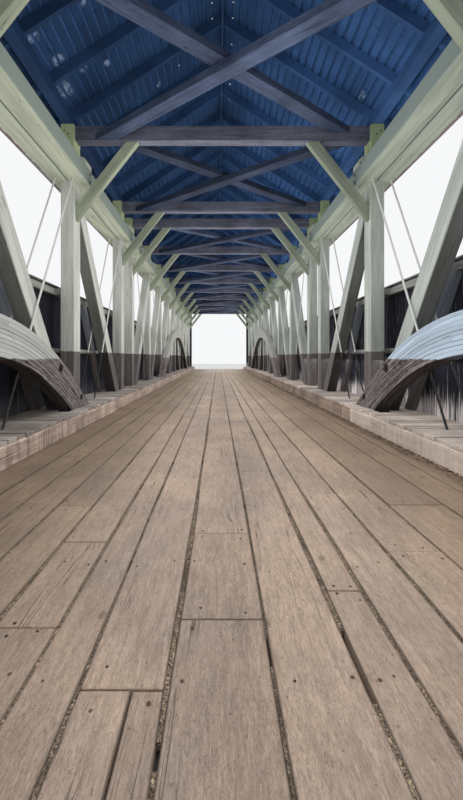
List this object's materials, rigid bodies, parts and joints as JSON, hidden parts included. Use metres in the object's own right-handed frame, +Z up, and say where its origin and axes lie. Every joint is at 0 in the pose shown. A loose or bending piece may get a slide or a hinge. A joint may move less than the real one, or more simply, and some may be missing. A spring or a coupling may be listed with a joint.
{
  "type": "covered bridge",
  "caption": "Covered timber bridge: posts, braces, iron counter rods and laminated arches carry a plank deck and gabled roof on a stone pier and abutments.",
  "frame": {"origin": "under the middle of the bridge, at the foot of the masonry", "axes": "+Z up; +Y along the roadway from the near portal, beside the short span, to the far portal; +X to the right seen that way"},
  "size_m": [7.9922, 32.88, 11.8213],
  "materials": {
    "masonry": "coursed sandstone blocks, weathered",
    "bare_timber": "rough sawn, aged dark grey-brown",
    "whitewashed_timber": "worn whitewash over rough timber, bare and grey below knee height",
    "painted_iron": "whitewashed above, bare dark iron below",
    "deck_planks": "worn planks with dirt in the seams",
    "ledge_boards": "grey-brown dusty boards",
    "weathered_boards": "unpainted upright boards, dark with age",
    "roof_timber": "rough sawn, dark",
    "roof_shingles": "wooden shingles, weathered grey"
  },
  "bodies": {
    "root": {"pier": "masonry", "abutment_near": "masonry", "abutment_far": "masonry", "seat_timbers": "bare_timber", "bottom_chord_left": "bare_timber", "bottom_chord_right": "bare_timber", "posts_left": "whitewashed_timber", "posts_right": "whitewashed_timber", "braces_left": "whitewashed_timber", "braces_right": "whitewashed_timber", "top_chord_left": "whitewashed_timber", "top_chord_right": "whitewashed_timber", "counter_rods_left": "painted_iron", "counter_rods_right": "painted_iron", "rod_anchor_blocks_left": "bare_timber", "rod_anchor_blocks_right": "bare_timber", "rod_head_blocks_left": "whitewashed_timber", "rod_head_blocks_right": "whitewashed_timber", "arch_near_left": "whitewashed_timber", "arch_near_right": "whitewashed_timber", "arch_far_left": "whitewashed_timber", "arch_far_right": "whitewashed_timber", "floor_beams": "bare_timber", "stringers": "bare_timber", "lower_bracing": "bare_timber", "subfloor": "bare_timber", "deck": "deck_planks", "curb_left": "deck_planks", "curb_right": "deck_planks", "ledge_left": "ledge_boards", "ledge_right": "ledge_boards", "siding_rails_left": "whitewashed_timber", "siding_rails_right": "whitewashed_timber", "siding_struts_left": "whitewashed_timber", "siding_struts_right": "whitewashed_timber", "siding_left": "weathered_boards", "siding_right": "weathered_boards", "portal_near": "weathered_boards", "portal_far": "weathered_boards", "tie_beams": "bare_timber", "knee_braces_left": "whitewashed_timber", "knee_braces_right": "whitewashed_timber", "upper_bracing": "bare_timber", "roof_plate_left": "roof_timber", "roof_plate_right": "roof_timber", "rafters_left": "roof_timber", "rafters_right": "roof_timber", "ridge_board": "roof_timber", "roof_left": "roof_shingles", "roof_right": "roof_shingles"}
  },
  "joints": []
}
